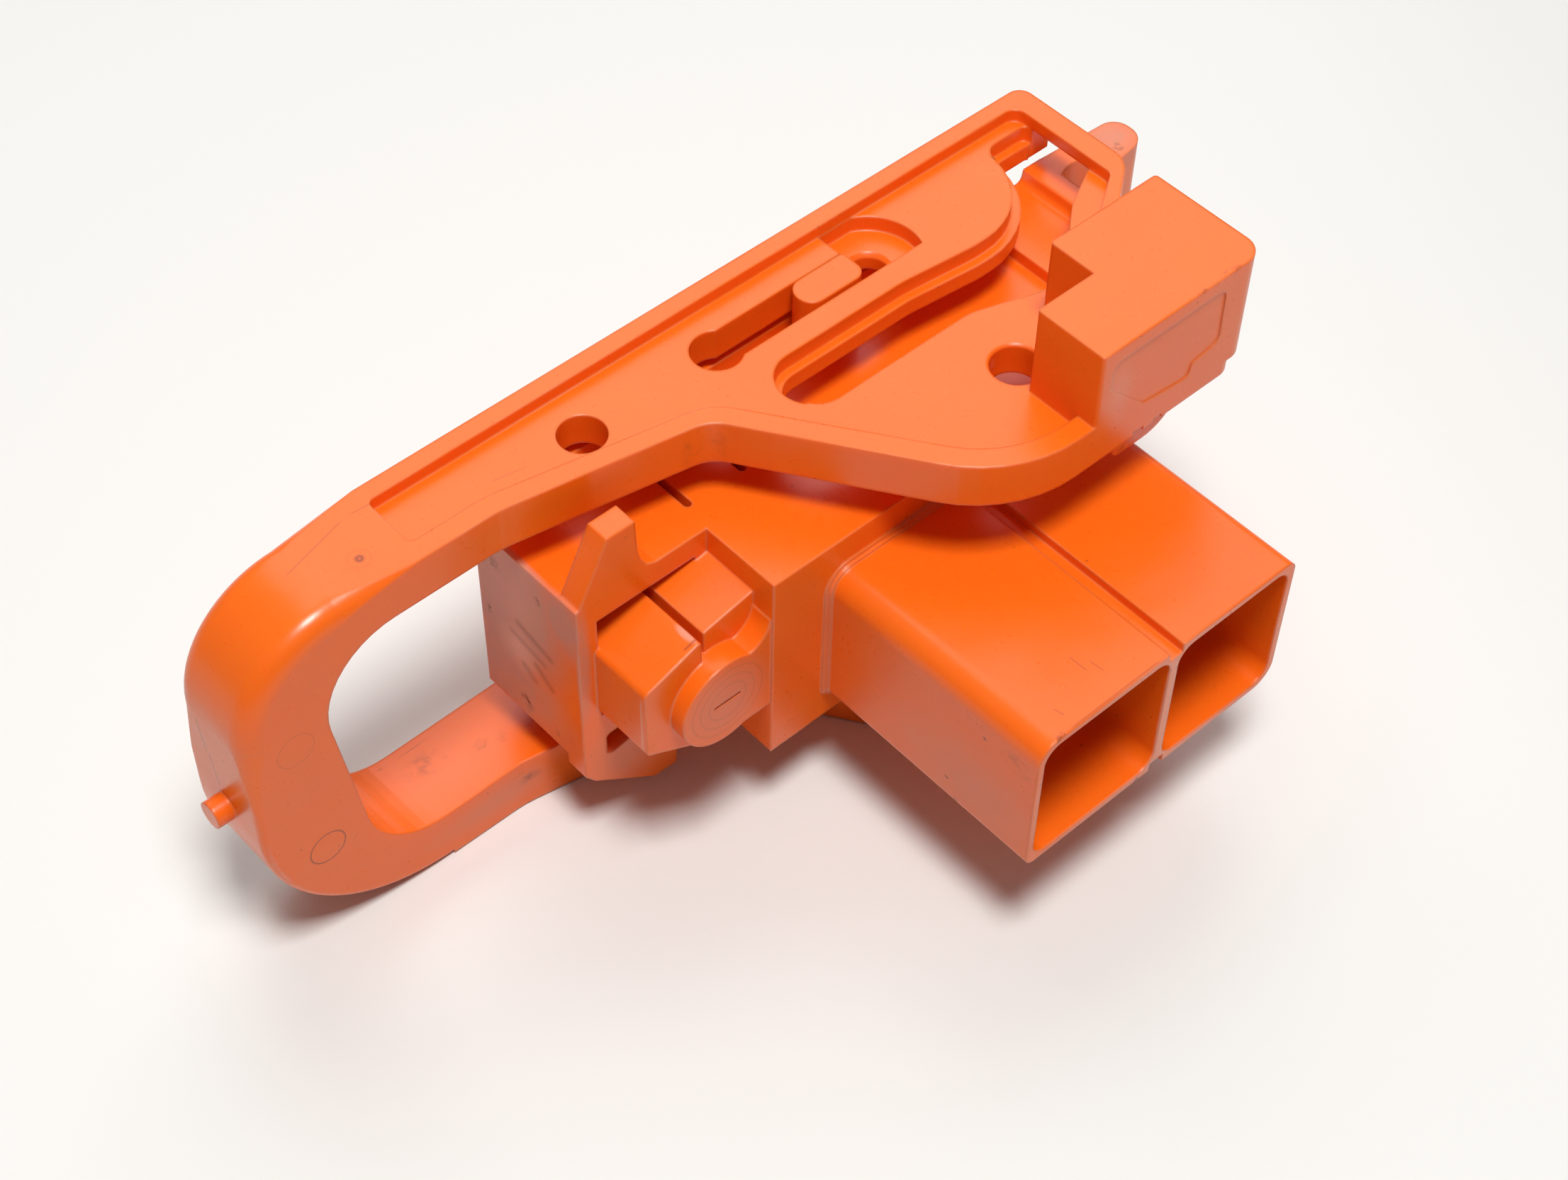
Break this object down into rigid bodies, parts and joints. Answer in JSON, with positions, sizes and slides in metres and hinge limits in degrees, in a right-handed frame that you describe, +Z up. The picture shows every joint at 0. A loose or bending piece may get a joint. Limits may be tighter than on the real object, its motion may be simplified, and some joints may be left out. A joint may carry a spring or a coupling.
{
  "type": "battery fuse",
  "caption": "Pull-out fuse plug of a high-voltage battery: orange moulded body with twin contact shrouds, straddled by a sliding lever with a D-shaped grip and a small connector block.",
  "frame": {"origin": "on the resting surface, below the middle of the part's box", "axes": "+X out along the contact shrouds, +Y along the lever from the grip towards the far lug, +Z up across both arms"},
  "size_m": [0.0768, 0.1642, 0.0745],
  "materials": {
    "orange_moulding": "satin orange glass-filled nylon",
    "seal_rubber": "flat die-cut rubber",
    "ceramic": null,
    "quartz_sand": null,
    "silver_strip": null,
    "cap_brass": "drawn brass, plain",
    "copper": null,
    "zinc_steel": "zinc plated",
    "insert_brass": "turned or stamped brass",
    "dark_plastic": "dark moulded plastic"
  },
  "bodies": {
    "plug": {"housing": "orange_moulding", "rear_cover": "orange_moulding", "cover_seal": "seal_rubber", "cover_screw_a": "zinc_steel", "cover_screw_b": "zinc_steel", "cover_screw_c": "zinc_steel", "cover_screw_d": "zinc_steel", "fuse_body": "ceramic", "fuse_filler": "quartz_sand", "fuse_element": "silver_strip", "fuse_cap_a": "cap_brass", "fuse_cap_b": "cap_brass", "fuse_foot_a": "copper", "fuse_foot_b": "copper", "blade_a": "copper", "blade_b": "copper", "foot_bolt_a": "zinc_steel", "foot_bolt_b": "zinc_steel", "spring_washer_a": "zinc_steel", "spring_washer_b": "zinc_steel", "nut_insert_a": "insert_brass", "nut_insert_b": "insert_brass"},
    "lever_body": {"lever": "orange_moulding", "interlock_holder": "dark_plastic", "interlock_bridge": "insert_brass"}
  },
  "joints": [
    {"name": "lever_slide", "type": "slide", "parent": "plug", "child": "lever_body", "axis": [0, 1, 0], "range_m": [-0.003, 0.018]}
  ]
}
